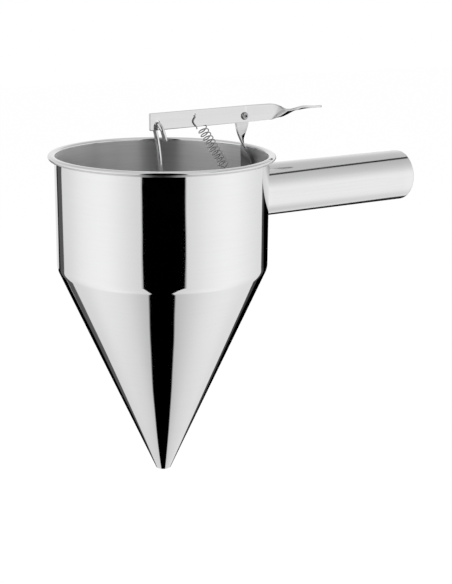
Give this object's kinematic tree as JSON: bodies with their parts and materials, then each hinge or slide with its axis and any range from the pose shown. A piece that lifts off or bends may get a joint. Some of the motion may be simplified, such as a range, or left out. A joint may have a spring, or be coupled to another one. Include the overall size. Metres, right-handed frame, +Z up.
{
  "type": "piston funnel",
  "caption": "Hand-held confectionery funnel: steel cylinder and cone with a tube handle, and a sprung thumb lever that lifts a wire rod and plug from the outlet.",
  "frame": {"origin": "on the funnel's axis, in the plane under the rolled rim, where a ring carries the funnel", "axes": "+Z up along the funnel's axis, +X along the handle away from the bowl"},
  "size_m": [0.2807, 0.15, 0.2522],
  "materials": {
    "polished_steel": "mirror polished stainless steel",
    "satin_steel": "satin stainless steel sheet",
    "wire_steel": "drawn stainless wire"
  },
  "bodies": {
    "funnel": {"bowl_cylinder": "polished_steel", "outlet_cone": "polished_steel", "handle_tube": "polished_steel", "handle_end_cap": "polished_steel", "handle_weld": "satin_steel", "pivot_bracket": "satin_steel", "pivot_rivet": "polished_steel", "pivot_washer": "satin_steel", "return_spring": "wire_steel"},
    "lever": {"lever": "satin_steel"},
    "piston": {"piston_rod": "wire_steel", "outlet_plug": "satin_steel"}
  },
  "joints": [
    {"name": "lever_pivot", "type": "hinge", "parent": "funnel", "child": "lever", "pos_m": [0.0642, 0, 0.024], "axis": [0, 1, 0], "range_deg": [0, 20], "stiffness_Nm_per_rad": 1.2, "springref_deg": -14.32, "deforming": ["return_spring"]},
    {"name": "piston_hinge", "type": "hinge", "parent": "lever", "child": "piston", "pos_m": [-0.0038, 0, 0.02275], "axis": [0, 1, 0], "range_deg": [-20, 0]}
  ],
  "couplings": [
    {"joint": "piston_hinge", "follows": "lever_pivot", "ratio": -1}
  ]
}
